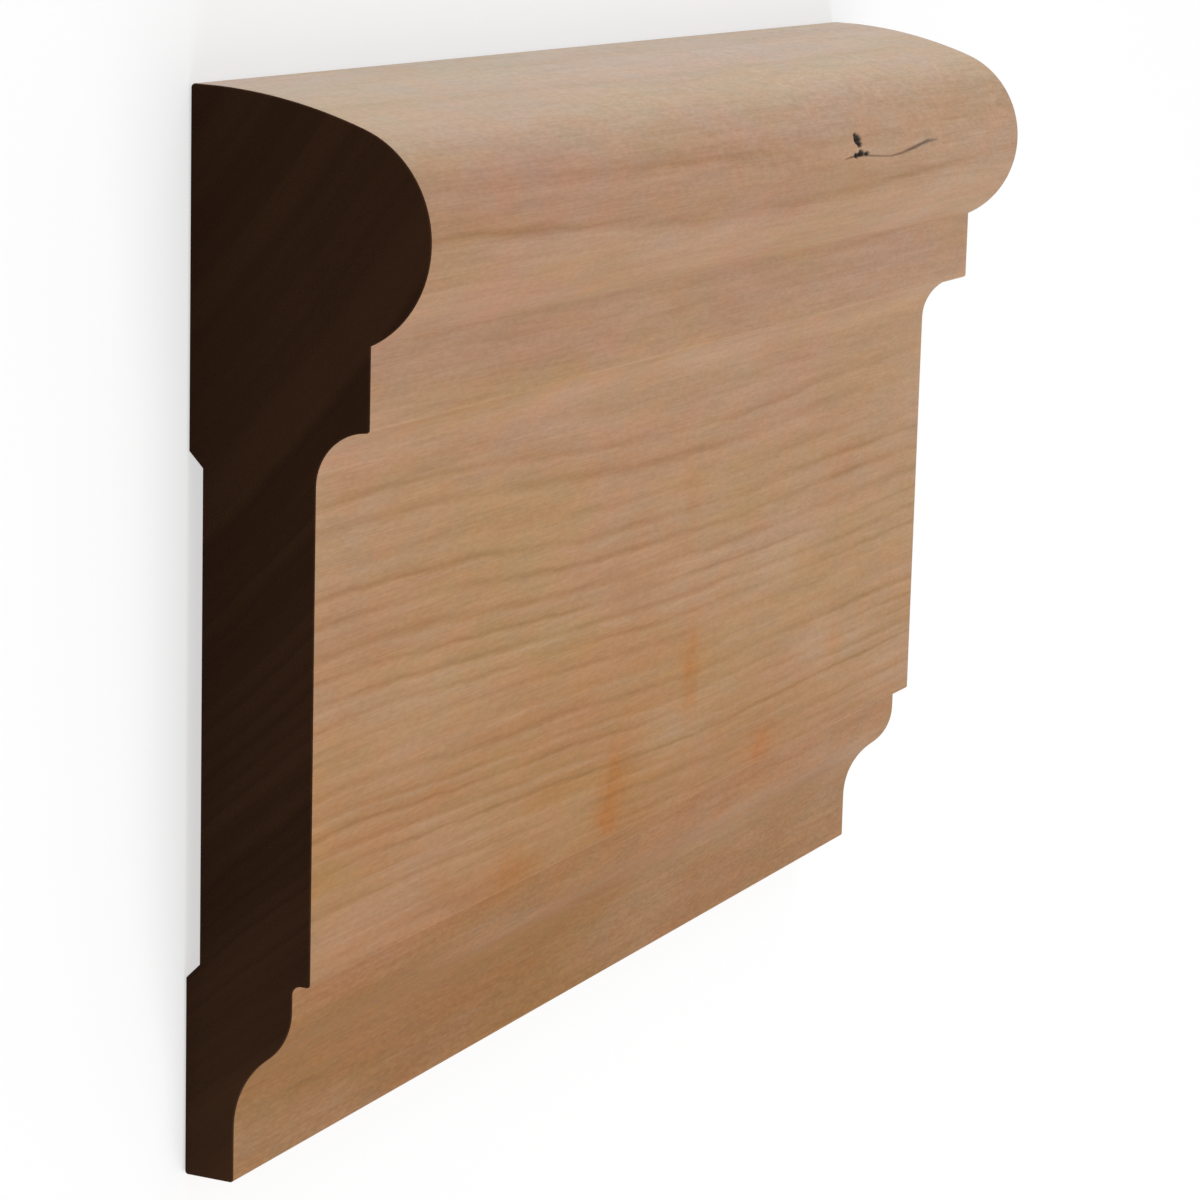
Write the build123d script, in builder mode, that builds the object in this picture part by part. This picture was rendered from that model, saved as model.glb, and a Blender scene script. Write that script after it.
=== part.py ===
from build123d import *
import math
import os

# Chair rail moulding: one board, milled to a section and cut square at both ends.
# It lies on its back: X along the length, Y up the wall towards the nose, Z out of the wall.
# The origin is at the middle of the back. All sizes are in millimetres.

# Length of the piece, and the width of wall that it covers
stock_length = 166.0
stock_width = 112.5

# Nose: a shallow crown runs into a round that overhangs the fillet below it
crown_fall = 2.75
nose_radius = 11.4
nose_overhang = 6.5

# Fillet and cove under the nose
fillet_height = 8.6
cove_radius = 5.95

# Ledge at the lower end of the plain face
ledge_depth = 2.05
ledge_height = 2.7
ledge_hollow_radius = 1.0

# Ogee, a round above a hollow, and the straight foot that it ends in
ogee_depth = 6.75
ogee_round_radius = 7.0
ogee_hollow_radius = 10.1
foot_height = 5.85
foot_thickness = 5.75

# Back: two lands lie on the wall, with a shallow relief between them
upper_land = 36.6
lower_land = 21.2
relief_depth = 1.6

# Corners that the cutter leaves sharp are eased by sanding
arris_radius = 0.4

# Levels above the back, added up from the foot to the front of the nose
ledge_z = foot_thickness + ogee_depth
face_z = ledge_z + ledge_depth
fillet_z = face_z + cove_radius
nose_z = fillet_z + nose_overhang

# The crown leaves the back square to it and runs into the nose without a corner
nose_centre_z = nose_z - nose_radius
crown_radius = nose_radius + (nose_centre_z**2 + crown_fall**2) / (2 * crown_fall)
crown_angle = math.degrees(math.asin(nose_centre_z / (crown_radius - nose_radius)))
nose_angle = 180 - math.degrees(math.asin(1 - nose_overhang / nose_radius)) - crown_angle

# Both arcs of the ogee turn by the same angle, so it starts and ends upright
ogee_radii = ogee_round_radius + ogee_hollow_radius
ogee_turn = math.acos(1 - ogee_depth / ogee_radii)
ogee_height = ogee_radii * math.sin(ogee_turn)
ogee_angle = math.degrees(ogee_turn)

# Edges of the width, and the ledge, which is set by what lies below it
top_y = stock_width / 2
bottom_y = -stock_width / 2
ledge_y = bottom_y + foot_height + ogee_height + ledge_height

with BuildPart() as chair_rail:
    with BuildSketch(Plane.YZ) as section:
        with BuildLine():
            crown = JernArc((top_y, 0), (0, 1), crown_radius, crown_angle)
            nose = JernArc(crown @ 1, crown % 1, nose_radius, nose_angle)
            fillet_face = Line(nose @ 1, nose @ 1 - Vector(fillet_height, 0))
            cove = JernArc(fillet_face @ 1, (0, -1), cove_radius, -90)
            plain_face = Line(cove @ 1, (ledge_y, face_z))
            ledge = Line(plain_face @ 1, (ledge_y, ledge_z))
            ledge_front = Line(ledge @ 1, (ledge_y - ledge_height, ledge_z))
            ogee_round = JernArc(ledge_front @ 1, (-1, 0), ogee_round_radius, ogee_angle)
            ogee_hollow = JernArc(ogee_round @ 1, ogee_round % 1, ogee_hollow_radius, -ogee_angle)
            foot = Line(ogee_hollow @ 1, (bottom_y, foot_thickness))
            bottom_edge = Line(foot @ 1, (bottom_y, 0))
            relief = Polyline(
                bottom_edge @ 1,
                (bottom_y + lower_land, 0),
                (bottom_y + lower_land + relief_depth, relief_depth),
                (top_y - upper_land - relief_depth, relief_depth),
                (top_y - upper_land, 0),
                crown @ 0,
            )
        make_face()
        for corner in (fillet_face @ 1, plain_face @ 1, foot @ 1, bottom_edge @ 1, crown @ 0):
            fillet(section.vertices().sort_by_distance(corner)[0], arris_radius)
        fillet(section.vertices().sort_by_distance(ledge @ 1)[0], ledge_hollow_radius)
    extrude(amount=stock_length / 2, both=True)
chair_rail.part.label = "chair_rail"

os.makedirs("parts", exist_ok=True)
export_step(chair_rail.part, "parts/chair_rail.step")
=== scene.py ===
import math
from collections import Counter

import bpy
import numpy as np
from mathutils import Matrix, Vector


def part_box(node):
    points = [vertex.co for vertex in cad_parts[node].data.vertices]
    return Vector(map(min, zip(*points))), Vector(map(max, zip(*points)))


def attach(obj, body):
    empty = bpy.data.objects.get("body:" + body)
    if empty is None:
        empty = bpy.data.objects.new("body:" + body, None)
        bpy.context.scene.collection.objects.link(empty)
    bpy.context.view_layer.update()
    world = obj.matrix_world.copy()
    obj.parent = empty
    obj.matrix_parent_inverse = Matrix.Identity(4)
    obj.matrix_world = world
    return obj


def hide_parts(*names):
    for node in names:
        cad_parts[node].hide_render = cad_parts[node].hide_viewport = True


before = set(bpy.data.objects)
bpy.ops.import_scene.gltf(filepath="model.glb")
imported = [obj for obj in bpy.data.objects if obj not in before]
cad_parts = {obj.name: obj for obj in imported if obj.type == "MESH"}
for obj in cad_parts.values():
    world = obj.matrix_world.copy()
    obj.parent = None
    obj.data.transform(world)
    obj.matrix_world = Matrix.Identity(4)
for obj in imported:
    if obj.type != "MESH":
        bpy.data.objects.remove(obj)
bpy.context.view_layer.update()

# Lengths are in millimetres unless a comment says otherwise, and MM turns them into metres.
# X runs along the length, Y up the section from the foot to the nose, and Z out from the back.
MM = 0.001
NODE = "chair_rail"
PIECE = "chair_rail_wood"

# Mesh: spacing of the rows round the section and of the stations along the length
FRONT_ROW, BACK_ROW, KNOT_ROW = 0.7, 4.0, 0.10
STATION, CRACK_STATION, PIT_STATION = 1.5, 0.4, 0.12
# What lies lower than this is the back
BACK_LEVEL = 2.0
# Turns sharper than these are corners of the outline and sharp edges of the mesh
CORNER_TURN, SHARP_TURN = math.radians(25), math.radians(30)
# Places that differ by less than TINY metres, or agree to so many digits, are the same
TINY, DIGITS = 1e-6, 6

# End cuts: sandpaper has taken off the saw's sharp edge, as (in from the end, in from the side)
END_EASING = ((0.0, 0.25), (0.08, 0.07), (0.25, 0.0))

# Knot in the nose: small pits, as (x, y, half length, half height, depth)
PITS = (
    (27.05, 45.55, 1.25, 0.74, 0.6),
    (27.5, 44.95, 0.85, 0.60, 0.5),
    (26.2, 43.6, 1.0, 0.40, 0.4),
    (27.7, 43.75, 1.2, 0.50, 0.5),
    (29.5, 43.6, 0.9, 0.36, 0.35),
)
# Waves that make a pit's edge ragged: how many run round it, and their share of its size
WIDE_WAVES, WIDE_SHARE = 3, 0.10
FINE_WAVES, FINE_SHARE = 7, 0.05
# A hair crack runs through the lower pits, as (x, y, half width, depth)
CRACK = (
    (22.6, 43.4, 0.12, 0.10),
    (25.4, 43.55, 0.17, 0.20),
    (30.0, 43.35, 0.17, 0.15),
    (36.8, 42.85, 0.15, 0.11),
    (40.6, 42.95, 0.22, 0.15),
    (45.4, 43.4, 0.30, 0.21),
    (50.0, 43.9, 0.30, 0.20),
    (53.4, 43.85, 0.16, 0.08),
)
# Power that rounds the crack's walls
CRACK_POWER = 0.7
# Depth at which a pit or the crack is at its darkest; the dark deepens with depth, partly the knot's own
# colour and partly painted shade
PIT_DARK, CRACK_DARK = 0.26, 0.30
# Where the mesh is finer: up the section at the knot, and along the length at the crack and the pits
KNOT_BAND = (42.2, 46.8)
CRACK_SPAN, PIT_SPAN = (21.5, 54.5), (24.9, 30.6)

# Gum marks on the plain face and just below it, as (x, y, half length, half height, strength)
GUM_MARKS = (
    (9.5, -18.0, 2.0, 5.0, 1.15),
    (-11.2, -27.2, 3.6, 3.8, 1.2),
    (-13.4, -31.6, 2.4, 2.6, 1.2),
    (31.6, -32.0, 3.8, 2.8, 0.8),
    (26.0, -38.5, 3.0, 1.8, 0.5),
    (-38.0, -32.5, 4.6, 3.0, 0.65),
    (8.7, 3.6, 2.2, 3.8, 0.45),
    (55.3, -23.4, 2.8, 2.4, 0.5),
    (55.0, 1.0, 11.0, 6.0, 0.3),
)

# Growth rings: the pith lies far off, so the rings cross the section as slanting lines.
# Growth is counted from the nose, NOSE_REACH from the pith, and is less at the crown and more at the foot.
# A ring is RING_SPACING wide at the nose, and rings get narrower outwards.
PITH_Y, PITH_Z = 212.0, -200.0
NOSE_REACH = 284.0
RING_SPACING, RING_NARROWING = 2.8, 0.0054

# Noise, as (size along the grain, size across it, shift, detail), and roughness where it isn't plain
WAVE, RIPPLE = (60.0, 20.0, 0.0, 1.0), (7.0, 4.0, 7.0, 2.0)
BREAKS = (30.0, 4.0, 3.0, 2.0)
TINTS, CLOUDS = (34.0, 10.0, 11.0, 3.0), (40.0, 12.0, 31.0, 3.0)
FIBRES, STRANDS, STRIPES = (9.0, 0.16, 5.0, 3.0), (16.0, 0.7, 13.0, 2.0), (22.0, 2.4, 61.0, 1.0)
SPECKS, FLECKS, PATCHES = (1.1, 0.35, 2.0, 2.0), (2.2, 0.9, 41.0, 3.0, 0.6), (22.0, 9.0, 51.0, 2.0)
MOTTLE = (8.0, 3.0, 17.0, 4.0, 0.6)
GUM_RAGS = (1.6, 2.6, 21.0, 3.0)
PORES = (6.0, 0.14, 4.0, 1.0)
# Noise along the growth alone, as (scale, detail): rings of uneven width, and bands in the end grain
UNEVEN_RINGS, END_BANDS = (0.2, 1.0), (0.16, 2.0)
# Most of a noise lies in this range
MOST = (0.3, 0.7)

# Fades, as (from, to, value at from, value at to). These go by the place along the length:
# the sweep of the rings down and back up, the nose's lines and cast, a paler far end that is painted sheen,
# and flecks
SWEEP_DOWN, SWEEP_UP = (-80.0, 8.0, 0.0, 3.4), (8.0, 85.0, 0.0, 1.5)
NOSE_LINES_ALONG, NOSE_CAST_ALONG = (30.0, 75.0, 1.0, 0.45), (-10.0, 45.0, 1.0, 0.35)
FAR_SHEEN_ALONG, FLECKS_ALONG = (-20.0, 85.0, 0.0, 0.36), (-55.0, 5.0, 0.4, 1.0)
# These go by the height up the section: how much of the sweep there is on the way up to the nose,
# and the end grain's foot, painted paler as painted light
SWEEP_UP_SHARE = (0.0, 30.0, 0.2, 1.0)
TONE_SWEEP, LINE_SWEEP = (0.0, 30.0, 0.25, 0.6), (5.0, 30.0, 1.0, 0.6)
END_FOOT_LIGHT_FADE = (-54.0, -25.0, 0.3, 0.0)
# These go by growth, at the crown and at the foot
CROWN_LINES, FOOT_LINES = (-9.0, -6.0, 0.3, 1.0), (39.0, 43.0, 1.0, 0.4)
CROWN_CLOUDS, FOOT_CLOUDS = (-14.0, -6.0, 0.0, 1.0), (38.0, 43.0, 1.0, 0.6)
CROWN_STREAKS, FOOT_STREAKS = (-14.0, -6.0, 0.6, 1.0), (38.0, 43.0, 1.0, 1.15)
CROWN_TINTS, FOOT_SPECKS = (-14.0, -6.0, 0.5, 1.0), (38.0, 43.0, 0.05, 0.075)
CROWN_FLECKS = (-6.0, -1.0, 1.0, 0.3)
# These go by the distance, in growth, from the middle of the nose and of the cove
NOSE_GROWTH, COVE_GROWTH = -2.0, 5.0
NOSE_LINES, NOSE_RAMP = (3.0, 5.0, 0.85, 0.0), (3.0, 5.0, 0.4, 1.0)
COVE_LINES = (2.5, 6.5, 0.55, 1.0)
# These go by the level above the back: the front of the nose, and the distance from the fillet
NOSE_FRONT = (24.3, 25.3, 0.0, 1.0)
FILLET_LEVEL, FILLET_LINES = 21.5, (4.0, 5.2, 0.35, 1.0)
# These go by noise, and by the strength that each ring draws
BROKEN, DRAWN = (0.3, 0.7, 0.25, 1.0), (0.0, 1.0, 0.25, 0.9)
TINTED, CLOUDED = (0.35, 0.65, 0.0, 1.0), (0.4, 0.75, 0.0, 0.35)
FLECKED, PATCHED = (0.35, 0.7, -0.05, 0.08), (0.35, 0.6, 0.3, 1.0)
GUM_RAGGED = (0.3, 0.7, 0.6, 1.3)
END_DRAWN, OPEN_PORES = (0.0, 1.0, 0.2, 1.0), (0.58, 0.72, 0.0, 0.4)

# Late wood, by the share of a ring's width: a slow ramp, then a dark line up to LINE_END, then its end.
# LINE_START and LINE_GONE are fades by the distance from the nose, where the lines are thinner.
RAMP_START, LINE_END = 0.1, 0.76
RAMP_DARK, LINE_DARK = 0.35, 0.65
LINE_START, LINE_GONE = (3.0, 5.0, 0.64, 0.55), (3.0, 5.0, 0.88, 1.0)
EARLY_WOOD = (0.0, 0.4, 1.0, 0.0)
END_LINE, END_LINE_GONE = (0.3, 0.9, 0.0, 1.0), (0.9, 1.0, 1.0, 0.0)
# The rings on the nose that are redder than the rest, by the count of rings
RED_FROM, RED_TO = (-2.3, -1.3, 0.0, 1.0), (-0.2, 0.0, 1.0, 0.0)
# How far the waves and the ripples of the grain carry the rings
WAVE_SIZE, RIPPLE_SIZE = 3.0, 0.8

# Body colours on a screen, by growth, from the crown to the foot. The pale grey of the crown is partly
# sapwood and partly painted sheen.
WOOD_TONES = (
    (-28.0, (197, 177, 159)),
    (-13.0, (193, 166, 141)),
    (-8.0, (178, 146, 119)),
    (-4.0, (175, 139, 111)),
    (2.0, (176, 137, 105)),
    (6.0, (182, 142, 107)),
    (22.0, (176, 134, 90)),
    (36.0, (167, 121, 75)),
    (41.5, (162, 115, 71)),
    (43.6, (145, 100, 55)),
    (45.0, (147, 103, 57)),
    (48.0, (151, 106, 61)),
)
# Other colours on a screen: pale clouds and early wood, which also serves as painted sheen at the far end,
# late wood in rosy and golden clouds, and the dark of pits and the crack, partly painted shade
PALE_AND_SHEEN, ROSY_LINE, GOLDEN_LINE, PIT_AND_SHADE = (184, 152, 127), (151, 102, 58), (144, 107, 57), (38, 31, 26)
# End grain, its own darker tone deepened with painted shade: paler and darker bands, late wood, pores, and
# the foot painted paler as painted light
END_PALE, END_DARK, END_LATE = (62, 38, 21), (50, 29, 14), (38, 20, 9)
END_PORE, END_FOOT_LIGHT = (28, 15, 8), (92, 62, 40)
# Casts that multiply the body colour: rosy and golden clouds, the redder rings of the nose, and gum
ROSY_CAST, GOLDEN_CAST = (1.02, 0.985, 1.05, 1.0), (0.99, 0.995, 0.89, 1.0)
NOSE_CAST, GUM_CAST = (0.95, 0.90, 0.88, 1.0), (1.02, 0.81, 0.57, 1.0)
# How strongly early and late wood show, on the long grain and on the end
EARLY_SHARE, LATE_SHARE, END_LATE_SHARE = 0.28, 0.74, 0.35
# How much fibres, strands and stripes lighten and darken the wood
FIBRE_SHADE, STRAND_SHADE, STRIPE_SHADE = 0.06, 0.035, 0.03
# Shares of the streaks and of the mottle in red, green and blue
STREAK_SHARES, MOTTLE_SHARES = (0.85, 1.05, 1.4), (0.035, -0.01, -0.045)

# Sheen and relief: roughness by the noise of fibres and pores, what late wood adds, and the bump's height
FIBRE_ROUGHNESS, PORE_ROUGHNESS = (0.3, 0.7, 0.57, 0.69), (0.3, 0.7, 0.7, 0.85)
LATE_ROUGHNESS = -0.05
LATE_RELIEF, END_LATE_RELIEF = 0.4, 0.3
WOOD_RELIEF, END_RELIEF = 0.02, 0.05
WOOD_SPECULAR, END_SPECULAR = 0.25, 0.08

# Studio, in metres: a floor just under the back, whose glow goes by the distance from the middle
FLOOR_SIDE, FLOOR_LEVEL = 3.0, -0.0002
FLOOR_GREY = (0.4, 0.4, 0.4, 1.0)
FLOOR_GLOW = (0.3, 1.2, 0.6, 0.85)
WHITE = (1.0, 1.0, 1.0, 1.0)
# Strength of the world as light and as the camera sees it
WORLD_LIGHT, WORLD_SEEN = 0.5, 1.0
# Soft boxes, as (name, place, target, width, height, watts)
SOFT_BOXES = (
    ("front", (0.05, -0.5, 0.75), (0.0, 0.0, 0.01), 0.8, 0.8, 5.5),
    ("top", (0.1, 0.9, 0.16), (0.0, 0.03, 0.01), 0.9, 0.26, 4.3),
)

# Camera, fitted to the outline of the photograph, with its angles in degrees and its clipping in metres
IMAGE_SIDE = 1200
FOCAL_PIXELS = 4004.4
SENSOR_WIDTH = 36.0
CAMERA_PLACE = (-422.63, 83.87, 206.89)
CAMERA_YAW, CAMERA_PITCH, CAMERA_ROLL = 64.648, 11.197, -1.492
CLIP_START, CLIP_END = 0.01, 20.0


def end_outline(node):
    """The outline of the node's end, as points (y, z) in order from its top edge round the front."""
    mesh = node.data
    end = min(v.co.x for v in mesh.vertices)
    edges = Counter()
    for polygon in mesh.polygons:
        corners = [mesh.vertices[i].co for i in polygon.vertices]
        if all(abs(c.x - end) < TINY for c in corners):
            names = [(round(c.y, DIGITS), round(c.z, DIGITS)) for c in corners]
            edges.update(frozenset(pair) for pair in zip(names, names[1:] + names[:1]))
    beside = {}
    for a, b in (tuple(edge) for edge, count in edges.items() if count == 1):
        beside.setdefault(a, []).append(b)
        beside.setdefault(b, []).append(a)
    start = max(beside)
    path = [start, max(beside[start], key=lambda p: p[1])]
    while path[-1] != start:
        a, b = beside[path[-1]]
        path.append(b if a == path[-2] else a)
    return np.array(path[:-1])


def row_spacing(a, b):
    """How far apart the rows lie between two points of the outline."""
    y, z = (a + b) / 2 / MM
    if z < BACK_LEVEL:
        return BACK_ROW * MM
    if KNOT_BAND[0] < y < KNOT_BAND[1]:
        return KNOT_ROW * MM
    return FRONT_ROW * MM


def smooth_outline(points):
    """The outline with its arcs made smooth again and its corners kept: points and outward normals."""
    step = np.roll(points, -1, axis=0) - points
    length = np.hypot(step[:, 0], step[:, 1])
    heading = np.arctan2(step[:, 1], step[:, 0])
    turn = (heading - np.roll(heading, 1) + math.pi) % (2 * math.pi) - math.pi
    before = np.roll(length, 1)
    tangent = np.roll(heading, 1) + turn * length / (before + length)
    corner = np.abs(turn) > CORNER_TURN
    made = []
    for i in range(len(points)):
        j = (i + 1) % len(points)
        leave, arrive = tangent[i], tangent[j]
        if corner[i]:
            leave = heading[i] if corner[j] else 2 * heading[i] - arrive
        if corner[j]:
            arrive = heading[i] if corner[i] else 2 * heading[i] - leave
        pieces = max(1, math.ceil(length[i] / row_spacing(points[i], points[j])))
        t = np.arange(pieces)[:, None] / pieces
        out = length[i] * np.array([math.cos(leave), math.sin(leave)])
        into = length[i] * np.array([math.cos(arrive), math.sin(arrive)])
        made.append(
            (1 + 2 * t) * (1 - t) ** 2 * points[i]
            + t * (1 - t) ** 2 * out
            + t**2 * (3 - 2 * t) * points[j]
            + t**2 * (t - 1) * into
        )
    made = np.concatenate(made)
    along = np.roll(made, -1, axis=0) - np.roll(made, 1, axis=0)
    along /= np.hypot(along[:, 0], along[:, 1])[:, None]
    normals = np.stack([along[:, 1], -along[:, 0]], 1)
    return made, normals


def stations(low, high):
    """Places along the length, closer together at the knot, as (x, how far the outline is drawn in)."""
    ease = END_EASING[-1][0] * MM
    knot = (CRACK_SPAN[0], PIT_SPAN[0], PIT_SPAN[1], CRACK_SPAN[1])
    places = [low + ease, *(place * MM for place in knot), high - ease]
    spacings = (STATION, CRACK_STATION, PIT_STATION, CRACK_STATION, STATION)
    inner = []
    for start, stop, spacing in zip(places, places[1:], spacings):
        pieces = math.ceil((stop - start) / (spacing * MM))
        inner += [(start + (stop - start) * k / pieces, 0.0) for k in range(pieces)]
    left = [(low + a * MM, b * MM) for a, b in END_EASING[:-1]]
    right = [(high - a * MM, b * MM) for a, b in END_EASING[::-1]]
    return np.array(left + inner + right)


def crack_depth(x, y):
    """Depth of the crack at points (x, y), and 0 away from it."""
    path = np.array(CRACK)
    centre, width, depth = (np.interp(x, path[:, 0], path[:, k], right=0, left=0) for k in (1, 2, 3))
    off = np.abs(y - centre) / np.maximum(width, TINY)
    return depth * np.clip(1 - off, 0, 1) ** CRACK_POWER


def pit_depth(x, y):
    """Depth of the pits at points (x, y), and 0 away from them."""
    total = np.zeros_like(x)
    for px, py, half_x, half_y, depth in PITS:
        angle = np.arctan2((y - py) / half_y, (x - px) / half_x)
        ragged = 1 + WIDE_SHARE * np.sin(WIDE_WAVES * angle + px)
        ragged += FINE_SHARE * np.sin(FINE_WAVES * angle + 2 * py)
        off = np.hypot((x - px) / half_x, (y - py) / half_y) / ragged
        total = np.maximum(total, depth * np.clip(1 - off**2, 0, 1))
    return total


def gum_strength(x, y):
    """How strongly the gum marks colour the points (x, y)."""
    total = np.zeros_like(x)
    for gx, gy, half_x, half_y, strength in GUM_MARKS:
        total += strength * np.exp(-(((x - gx) / half_x) ** 2) - ((y - gy) / half_y) ** 2)
    return total


def tube_mesh(points, columns, rows):
    """A closed mesh through outlines in a row. Its ends and their easing take the second material."""
    index = np.arange(columns * rows).reshape(columns, rows)
    after = np.roll(index, -1, axis=1)
    sides = np.stack([index[:-1], after[:-1], after[1:], index[1:]], axis=-1).reshape(-1, 4)
    faces = sides.tolist() + [index[0][::-1].tolist(), index[-1].tolist()]
    mesh = bpy.data.meshes.new(PIECE)
    mesh.from_pydata(points.tolist(), [], faces)
    eased = (len(END_EASING) - 1) * rows
    is_end = np.ones(len(faces), dtype=np.int32)
    is_end[eased:len(sides) - eased] = 0
    mesh.polygons.foreach_set("material_index", is_end)
    smooth = np.ones(len(faces), dtype=bool)
    smooth[len(sides):] = False
    mesh.polygons.foreach_set("use_smooth", smooth)
    mesh.set_sharp_from_angle(angle=SHARP_TURN)
    return mesh


def keep_numbers(mesh, name, values):
    """Keeps a number for each point of the mesh, under a name that its materials read."""
    layer = mesh.attributes.new(name, "FLOAT", "POINT")
    layer.data.foreach_set("value", values.ravel().astype(np.float32))


def rail_mesh(node):
    """The moulding as a fine mesh on the node's own outline, with the knot's pits and crack sunk into it."""
    outline, normals = smooth_outline(end_outline(node))
    low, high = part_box(NODE)
    along = stations(low.x, high.x)
    section = outline[None] - normals[None] * along[:, 1][:, None, None]
    x = np.repeat(along[:, 0][:, None], len(outline), axis=1) / MM
    y, z = section[..., 0] / MM, section[..., 1] / MM
    front = z > BACK_LEVEL
    pits, crack = (np.where(front, depth(x, y), 0.0) for depth in (pit_depth, crack_depth))
    section = section - normals[None] * np.maximum(pits, crack)[..., None] * MM
    points = np.concatenate([x[..., None] * MM, section], axis=2).reshape(-1, 3)
    mesh = tube_mesh(points, len(along), len(outline))
    # A number by depth in the pits and the crack, for their dark colour, which is partly painted shade
    keep_numbers(mesh, "defect_and_shade", np.clip(np.maximum(pits / PIT_DARK, crack / CRACK_DARK), 0, 1))
    keep_numbers(mesh, "gum", np.where(front, gum_strength(x, y), 0.0))
    return mesh


def colour(red, green, blue):
    """A colour given as it looks on a screen, from 0 to 255, as linear light."""
    parts = (c / 255 for c in (red, green, blue))
    return (*(c / 12.92 if c <= 0.04045 else ((c + 0.055) / 1.055) ** 2.4 for c in parts), 1.0)


class Graph:
    """Short names for the nodes of one material."""

    def __init__(self, name):
        self.material = bpy.data.materials.new(name)
        self.material.use_nodes = True
        self.tree = self.material.node_tree
        self.shader = self.tree.nodes["Principled BSDF"]

    def add(self, kind, sockets=(), **settings):
        """A node with its settings, and with values or links in its input sockets."""
        node = self.tree.nodes.new(kind)
        for name, value in settings.items():
            setattr(node, name, value)
        for key, value in dict(sockets).items():
            self.feed(node.inputs[key], value)
        return node

    def feed(self, socket, value):
        """Sets a socket to a number or a colour, or links it to another node's output."""
        if isinstance(value, bpy.types.NodeSocket):
            self.tree.links.new(value, socket)
        else:
            socket.default_value = value

    def math(self, operation, *values, clamp=False):
        node = self.add("ShaderNodeMath", enumerate(values), operation=operation, use_clamp=clamp)
        return node.outputs[0]

    def product(self, first, *others):
        """All the values multiplied together."""
        for other in others:
            first = self.math("MULTIPLY", first, other)
        return first

    def off(self, value, middle):
        """How far value lies from middle, on either side."""
        return self.math("ABSOLUTE", self.math("SUBTRACT", value, middle))

    def span(self, value, low, high, at_low=0.0, at_high=1.0, smooth=True):
        """value carried from low..high to at_low..at_high, and held at the ends."""
        kind = "SMOOTHSTEP" if smooth else "LINEAR"
        sockets = {0: value, 1: low, 2: high, 3: at_low, 4: at_high}
        return self.add("ShaderNodeMapRange", sockets, interpolation_type=kind).outputs[0]

    def swing(self, noise, size=1.0):
        """Noise carried to -size..size."""
        return self.span(noise, *MOST, -size, size)

    def blend(self, factor, a, b, kind="MIX"):
        node = self.add("ShaderNodeMix", {0: factor, 6: a, 7: b}, data_type="RGBA", blend_type=kind)
        return node.outputs[2]

    def ramp(self, value, stops):
        """The colour at value, between the colours of the stops on either side of it."""
        low, high = stops[0][0], stops[-1][0]
        node = self.add("ShaderNodeValToRGB", {0: self.span(value, low, high, smooth=False)})
        elements = node.color_ramp.elements
        while len(elements) < len(stops):
            elements.new(1.0)
        for element, (at, shown) in zip(elements, stops):
            element.position = (at - low) / (high - low)
            element.color = colour(*shown)
        return node.outputs[0]

    def attribute(self, name):
        return self.add("ShaderNodeAttribute", attribute_name=name).outputs["Fac"]

    def finish(self, base, roughness, specular, height, relief):
        """Links the shader, with height as a bump of relief millimetres."""
        sockets = {"Strength": 1.0, "Distance": relief * MM, "Height": height}
        bump = self.add("ShaderNodeBump", sockets)
        self.feed(self.shader.inputs["Base Color"], base)
        self.feed(self.shader.inputs["Roughness"], roughness)
        self.feed(self.shader.inputs["Specular IOR Level"], specular)
        self.feed(self.shader.inputs["Normal"], bump.outputs[0])
        return self.material


class Timber(Graph):
    """A material of the one block of wood, in the part's own frame, with the rings that run through it."""

    def __init__(self, name):
        super().__init__(name)
        place = self.add("ShaderNodeTexCoord").outputs["Object"]
        self.place = self.add("ShaderNodeVectorMath", {0: place, 3: 1 / MM}, operation="SCALE").outputs[0]
        self.x, self.y, self.z = self.add("ShaderNodeSeparateXYZ", {0: self.place}).outputs
        self.grown, self.rings = self.growth()

    def noise(self, along, across, shift, detail, roughness=0.5):
        """Noise from 0 to 1 with features of these sizes along and across the grain."""
        scale = (1 / along, 1 / across, 1 / across)
        stretched = self.add("ShaderNodeMapping", {0: self.place, 1: (shift, shift, shift), 3: scale})
        sockets = {"Vector": stretched.outputs[0], "Scale": 1.0, "Detail": detail, "Roughness": roughness}
        return self.add("ShaderNodeTexNoise", sockets).outputs["Fac"]

    def growth_noise(self, growth, scale, detail):
        """Noise from 0 to 1 that is the same wherever the growth is the same."""
        sockets = {"W": growth, "Scale": scale, "Detail": detail}
        return self.add("ShaderNodeTexNoise", sockets, noise_dimensions="1D").outputs[0]

    def past_nose(self, height):
        """Growth past the nose at this height up the section."""
        up = self.math("SUBTRACT", height, PITH_Y)
        out = self.math("SUBTRACT", self.z, PITH_Z)
        reach = self.math("SQRT", self.math("ADD", self.product(up, up), self.product(out, out)))
        return self.math("SUBTRACT", reach, NOSE_REACH)

    def growth(self):
        """Growth past the nose, for the colours, and the count of rings, which sweep further."""
        back = self.product(self.span(self.x, *SWEEP_UP), self.span(self.y, *SWEEP_UP_SHARE))
        sweep = self.math("SUBTRACT", self.span(self.x, *SWEEP_DOWN), back)
        wave = self.product(self.noise(*WAVE), WAVE_SIZE)
        ripple = self.product(self.noise(*RIPPLE), RIPPLE_SIZE)
        waved = self.math("ADD", self.y, self.math("ADD", wave, ripple))
        shares = (self.span(self.y, *fade) for fade in (TONE_SWEEP, LINE_SWEEP))
        grown, swept = (self.past_nose(self.math("MULTIPLY_ADD", sweep, share, waved)) for share in shares)
        rate = self.math("MULTIPLY_ADD", swept, RING_NARROWING, 1 / RING_SPACING)
        uneven = self.growth_noise(swept, *UNEVEN_RINGS)
        return grown, self.math("MULTIPLY_ADD", swept, rate, uneven)

    def ring_strength(self):
        """A number from 0 to 1 that is the same all through a ring and differs from ring to ring."""
        sockets = {"W": self.math("FLOOR", self.rings)}
        return self.add("ShaderNodeTexWhiteNoise", sockets, noise_dimensions="1D").outputs["Value"]


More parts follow.
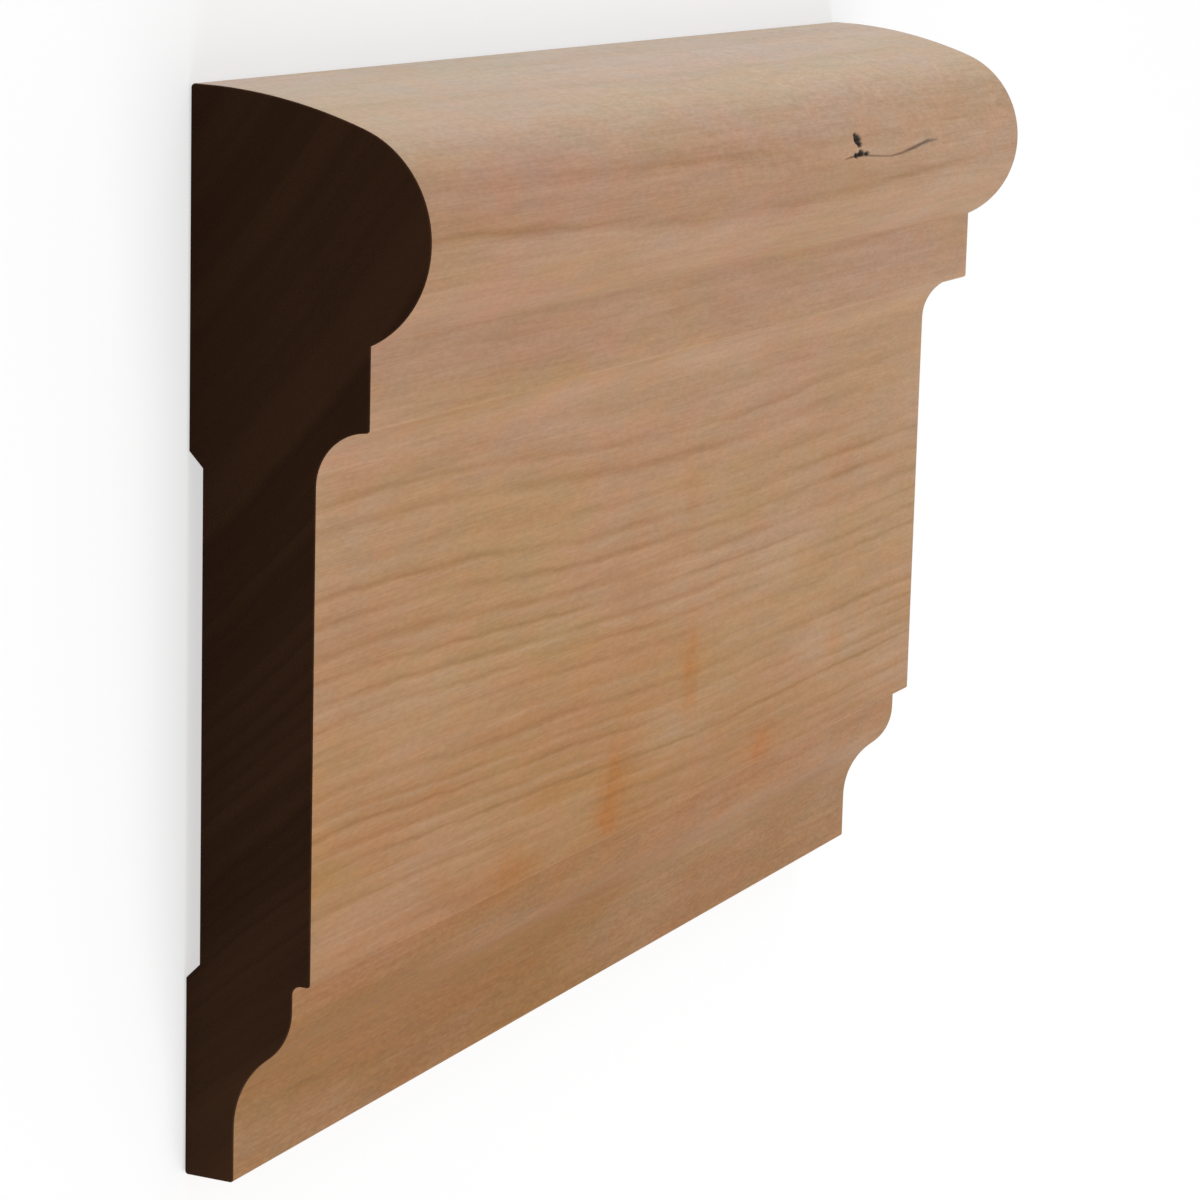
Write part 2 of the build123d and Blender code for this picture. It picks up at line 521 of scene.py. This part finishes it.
def ring_lines(g):
    """Late wood and early wood, from 0 to 1. Each ring darkens to its outer edge and starts again pale."""
    within = g.math("FRACT", g.rings)
    off_nose = g.off(g.grown, NOSE_GROWTH)
    ramp = g.product(g.span(within, RAMP_START, LINE_END, 0.0, RAMP_DARK), g.span(off_nose, *NOSE_RAMP))
    line = g.span(within, g.span(off_nose, *LINE_START), LINE_END, 0.0, LINE_DARK)
    end = g.span(within, LINE_END, g.span(off_nose, *LINE_GONE), 1.0, 0.0)
    late = g.product(g.math("ADD", ramp, line), end)
    early = g.span(within, *EARLY_WOOD)

    # The lines come and go. They are bold on the nose, and faint on the crown, the fillet and the foot.
    by_nose = g.product(g.span(off_nose, *NOSE_LINES), g.span(g.x, *NOSE_LINES_ALONG))
    strength = g.product(
        g.math("MAXIMUM", g.span(g.ring_strength(), *DRAWN), by_nose),
        g.span(g.noise(*BREAKS), *BROKEN),
        g.span(g.grown, *CROWN_LINES),
        g.span(g.off(g.grown, COVE_GROWTH), *COVE_LINES),
        g.span(g.grown, *FOOT_LINES),
        g.span(g.off(g.z, FILLET_LEVEL), *FILLET_LINES),
    )
    return g.product(late, strength), g.product(early, strength)


def nose_band(g):
    """The two rings on the front of the nose that are redder than the rest, from 0 to 1."""
    red = g.product(g.span(g.rings, *RED_FROM), g.span(g.rings, *RED_TO))
    return g.product(red, g.product(g.span(g.z, *NOSE_FRONT), g.span(g.x, *NOSE_CAST_ALONG)))


def body_colour(g, late, early):
    """Pale at the crown, partly sapwood and partly painted sheen, to darker brown at the foot, with clouds
    that grow paler towards the far end as painted sheen, and the lines of the rings.
    """
    body = g.ramp(g.grown, WOOD_TONES)
    tint = g.span(g.noise(*TINTS), *TINTED)
    cast = g.blend(tint, ROSY_CAST, GOLDEN_CAST)
    body = g.blend(g.span(g.grown, *CROWN_TINTS), body, cast, "MULTIPLY")
    # Random pale clouds, plus a paler far end that is painted sheen
    cloud_and_sheen = g.math("ADD", g.span(g.noise(*CLOUDS), *CLOUDED), g.span(g.x, *FAR_SHEEN_ALONG))
    cloud_and_sheen = g.product(cloud_and_sheen, g.span(g.grown, *FOOT_CLOUDS), g.span(g.grown, *CROWN_CLOUDS))
    body = g.blend(cloud_and_sheen, body, colour(*PALE_AND_SHEEN))
    body = g.blend(nose_band(g), body, NOSE_CAST, "MULTIPLY")
    body = g.blend(g.product(early, EARLY_SHARE), body, colour(*PALE_AND_SHEEN))
    dark_line = g.blend(tint, colour(*ROSY_LINE), colour(*GOLDEN_LINE))
    return g.blend(g.product(late, LATE_SHARE), body, dark_line)


def streaks(g, fibre):
    """What multiplies the body colour: streaks, specks, flecks at the crown, and a mottle of hue."""
    streak = g.math("ADD", g.swing(fibre, FIBRE_SHADE), g.swing(g.noise(*STRANDS), STRAND_SHADE))
    streak = g.math("ADD", streak, g.swing(g.noise(*STRIPES), STRIPE_SHADE))
    streak = g.product(streak, g.span(g.grown, *CROWN_STREAKS))
    specked = g.span(g.grown, *FOOT_SPECKS)
    streak = g.math("MULTIPLY_ADD", g.swing(g.noise(*SPECKS)), specked, streak)
    patch = g.product(g.span(g.noise(*PATCHES), *PATCHED), g.span(g.x, *FLECKS_ALONG))
    patch = g.product(patch, g.span(g.grown, *CROWN_FLECKS))
    streak = g.math("ADD", streak, g.product(g.span(g.noise(*FLECKS), *FLECKED), patch))
    streak = g.product(streak, g.span(g.grown, *FOOT_STREAKS))
    mottle = g.swing(g.noise(*MOTTLE))
    shades = [g.math("MULTIPLY_ADD", streak, share, 1.0) for share in STREAK_SHARES]
    shades = [g.math("MULTIPLY_ADD", mottle, share, shade) for share, shade in zip(MOTTLE_SHARES, shades)]
    return g.add("ShaderNodeCombineColor", enumerate(shades)).outputs[0]


def wood():
    """Long grain of a pale reddish-brown hardwood, sanded smooth, with a silky sheen."""
    g = Timber("wood")
    late, early = ring_lines(g)
    fibre = g.noise(*FIBRES)
    body = g.blend(1.0, body_colour(g, late, early), streaks(g, fibre), "MULTIPLY")
    ragged = g.span(g.noise(*GUM_RAGS), *GUM_RAGGED)
    gum = g.math("MULTIPLY", g.attribute("gum"), ragged, clamp=True)
    body = g.blend(gum, body, GUM_CAST, "MULTIPLY")
    # Pits and crack darkened by their depth: partly the knot's own dark, partly painted shade
    body = g.blend(g.attribute("defect_and_shade"), body, colour(*PIT_AND_SHADE))
    rough = g.math("ADD", g.span(fibre, *FIBRE_ROUGHNESS), g.product(late, LATE_ROUGHNESS))
    height = g.math("SUBTRACT", fibre, g.product(late, LATE_RELIEF))
    return g.finish(body, rough, WOOD_SPECULAR, height, WOOD_RELIEF)


def end_grain():
    """Saw-cut end, dark where the open pores have drunk in the sealer, and darker still as painted shade."""
    g = Timber("end_grain")
    within = g.math("FRACT", g.rings)
    late = g.product(g.span(within, *END_LINE), g.span(within, *END_LINE_GONE))
    late = g.product(late, g.span(g.ring_strength(), *END_DRAWN))
    band = g.span(g.growth_noise(g.grown, *END_BANDS), *MOST)
    body = g.blend(band, colour(*END_PALE), colour(*END_DARK))
    body = g.blend(g.product(late, END_LATE_SHARE), body, colour(*END_LATE))
    pores = g.noise(*PORES)
    body = g.blend(g.span(pores, *OPEN_PORES), body, colour(*END_PORE))
    # Painted light: the end grain is painted paler towards the foot
    body = g.blend(g.span(g.y, *END_FOOT_LIGHT_FADE), body, colour(*END_FOOT_LIGHT))
    rough = g.span(pores, *PORE_ROUGHNESS)
    height = g.math("SUBTRACT", pores, g.product(late, END_LATE_RELIEF))
    return g.finish(body, rough, END_SPECULAR, height, END_RELIEF)


def make_rail():
    """The visible moulding, in place of the plain node."""
    mesh = rail_mesh(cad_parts[NODE])
    mesh.materials.append(wood())
    mesh.materials.append(end_grain())
    rail = bpy.data.objects.new(PIECE, mesh)
    bpy.context.scene.collection.objects.link(rail)
    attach(rail, "root")
    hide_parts(NODE)


def make_floor():
    """A plain pale floor that keeps the shadow, and looks white to the camera and in reflections."""
    signs = ((-1, -1), (1, -1), (1, 1), (-1, 1))
    corners = [(x * FLOOR_SIDE, y * FLOOR_SIDE, FLOOR_LEVEL) for x, y in signs]
    mesh = bpy.data.meshes.new("floor")
    mesh.from_pydata(corners, [], [(0, 1, 2, 3)])
    floor = bpy.data.objects.new("floor", mesh)
    bpy.context.scene.collection.objects.link(floor)
    g = Graph("floor")
    g.feed(g.shader.inputs["Base Color"], FLOOR_GREY)
    g.feed(g.shader.inputs["Roughness"], 1.0)
    g.feed(g.shader.inputs["Specular IOR Level"], 0.0)
    g.feed(g.shader.inputs["Emission Color"], WHITE)
    rays = g.add("ShaderNodeLightPath").outputs
    mirrored = g.math("MAXIMUM", rays["Is Glossy Ray"], rays["Is Transmission Ray"])
    seen = g.math("MAXIMUM", rays["Is Camera Ray"], mirrored)
    place = g.add("ShaderNodeTexCoord").outputs["Object"]
    away = g.add("ShaderNodeVectorMath", {0: place}, operation="LENGTH").outputs["Value"]
    g.feed(g.shader.inputs["Emission Strength"], g.product(seen, g.span(away, *FLOOR_GLOW)))
    mesh.materials.append(g.material)


def make_world():
    """Even light from all round, which looks white to the camera."""
    world = bpy.data.worlds.new("studio")
    world.use_nodes = True
    tree = world.node_tree
    rays = tree.nodes.new("ShaderNodeLightPath")
    level = tree.nodes.new("ShaderNodeMapRange")
    level.inputs["To Min"].default_value = WORLD_LIGHT
    level.inputs["To Max"].default_value = WORLD_SEEN
    tree.links.new(rays.outputs["Is Camera Ray"], level.inputs["Value"])
    background = tree.nodes["Background"]
    background.inputs["Color"].default_value = WHITE
    tree.links.new(level.outputs[0], background.inputs["Strength"])
    bpy.context.scene.world = world


def soft_light(name, place, target, width, height, power):
    """A soft box at place, facing target."""
    lamp = bpy.data.lights.new(name, "AREA")
    lamp.shape = "RECTANGLE"
    lamp.size, lamp.size_y, lamp.energy = width, height, power
    box = bpy.data.objects.new(name, lamp)
    box.location = place
    box.rotation_euler = (Vector(target) - Vector(place)).to_track_quat("-Z", "Y").to_euler()
    bpy.context.scene.collection.objects.link(box)


def make_camera():
    """The photograph's camera, turned to see the moulding upright as it hangs on a wall."""
    lens = bpy.data.cameras.new("camera")
    lens.sensor_width = SENSOR_WIDTH
    lens.lens = FOCAL_PIXELS * SENSOR_WIDTH / IMAGE_SIDE
    lens.clip_start, lens.clip_end = CLIP_START, CLIP_END
    camera = bpy.data.objects.new("camera", lens)
    turns = ((CAMERA_YAW, "Y"), (CAMERA_PITCH, "X"), (CAMERA_ROLL, "Z"))
    spin = Matrix.Identity(4)
    for degrees, axis in turns:
        spin = spin @ Matrix.Rotation(-math.radians(degrees), 4, axis)
    camera.matrix_world = Matrix.Translation(Vector(CAMERA_PLACE) * MM) @ spin
    bpy.context.scene.collection.objects.link(camera)
    bpy.context.scene.camera = camera


make_rail()
make_floor()
make_world()
for soft_box in SOFT_BOXES:
    soft_light(*soft_box)
make_camera()
bpy.context.scene.view_settings.view_transform = "Standard"
